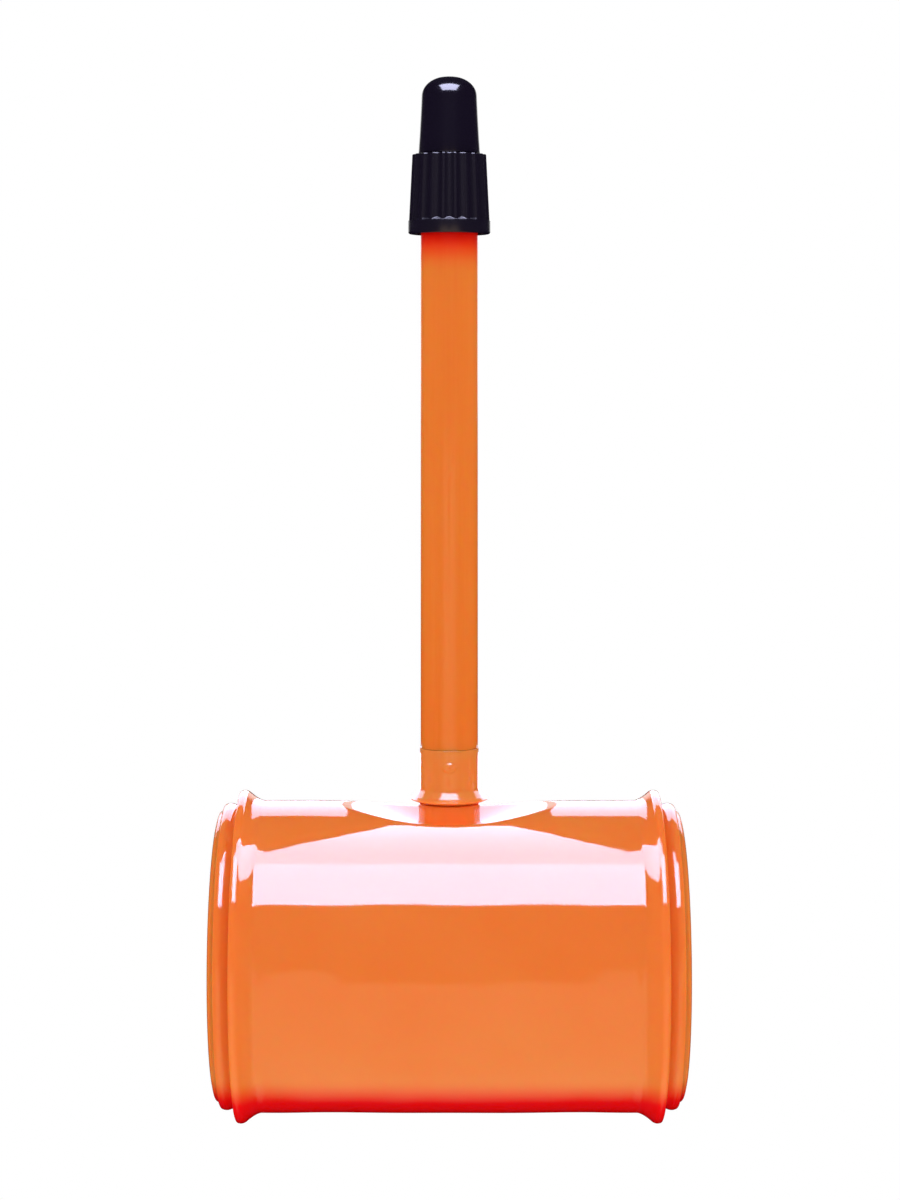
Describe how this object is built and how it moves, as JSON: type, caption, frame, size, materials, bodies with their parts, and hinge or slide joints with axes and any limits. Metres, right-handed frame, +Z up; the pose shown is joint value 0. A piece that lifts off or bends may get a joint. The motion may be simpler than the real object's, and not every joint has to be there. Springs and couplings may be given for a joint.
{
  "type": "dust blower bulb",
  "caption": "Hand dust blower: soft hollow orange drum with press-in ends, upright blow tube, black screw collar and rounded nozzle.",
  "frame": {"origin": "on the surface that the drum lies on, midway between its two ends and under its axis", "axes": "+Z up along the blow tube, X along the drum's axis, -Y towards the moulding pip on the neck"},
  "size_m": [0.0644, 0.0458, 0.146],
  "materials": {
    "soft_orange": "glossy, slightly translucent soft PVC",
    "clear_orange": "smooth translucent plastic, redder at its edges",
    "black_plastic": "glossy moulded",
    "seal_rubber": "matt",
    "white_nylon": "satin moulded"
  },
  "bodies": {
    "drum": {"drum_barrel": "soft_orange", "left_end_ring": "soft_orange", "right_end_ring": "soft_orange", "left_end_wall": "soft_orange", "right_end_wall": "soft_orange", "neck_socket": "clear_orange", "neck_seal": "seal_rubber", "neck_nut": "white_nylon", "blow_tube": "clear_orange", "tip_bush": "black_plastic", "tip_seal": "seal_rubber"},
    "left_pad": {"left_press_pad": "soft_orange"},
    "right_pad": {"right_press_pad": "soft_orange"},
    "nozzle": {"nozzle": "black_plastic"},
    "collar": {"collar_nut": "black_plastic"}
  },
  "joints": [
    {"name": "left_press", "type": "slide", "parent": "drum", "child": "left_pad", "axis": [1, 0, 0], "range_m": [0, 0.008], "stiffness_N_per_m": 700},
    {"name": "right_press", "type": "slide", "parent": "drum", "child": "right_pad", "axis": [-1, 0, 0], "range_m": [0, 0.008], "stiffness_N_per_m": 700},
    {"name": "nozzle_lift", "type": "slide", "parent": "drum", "child": "nozzle", "axis": [0, 0, 1], "range_m": [0, 0.0045]},
    {"name": "collar_turn", "type": "hinge", "parent": "nozzle", "child": "collar", "pos_m": [0, 0, 0.1295], "axis": [0, 0, 1], "range_deg": [0, 1080]}
  ],
  "couplings": [
    {"joint": "collar_turn", "follows": "nozzle_lift", "rad_per_m": 4188.8}
  ]
}
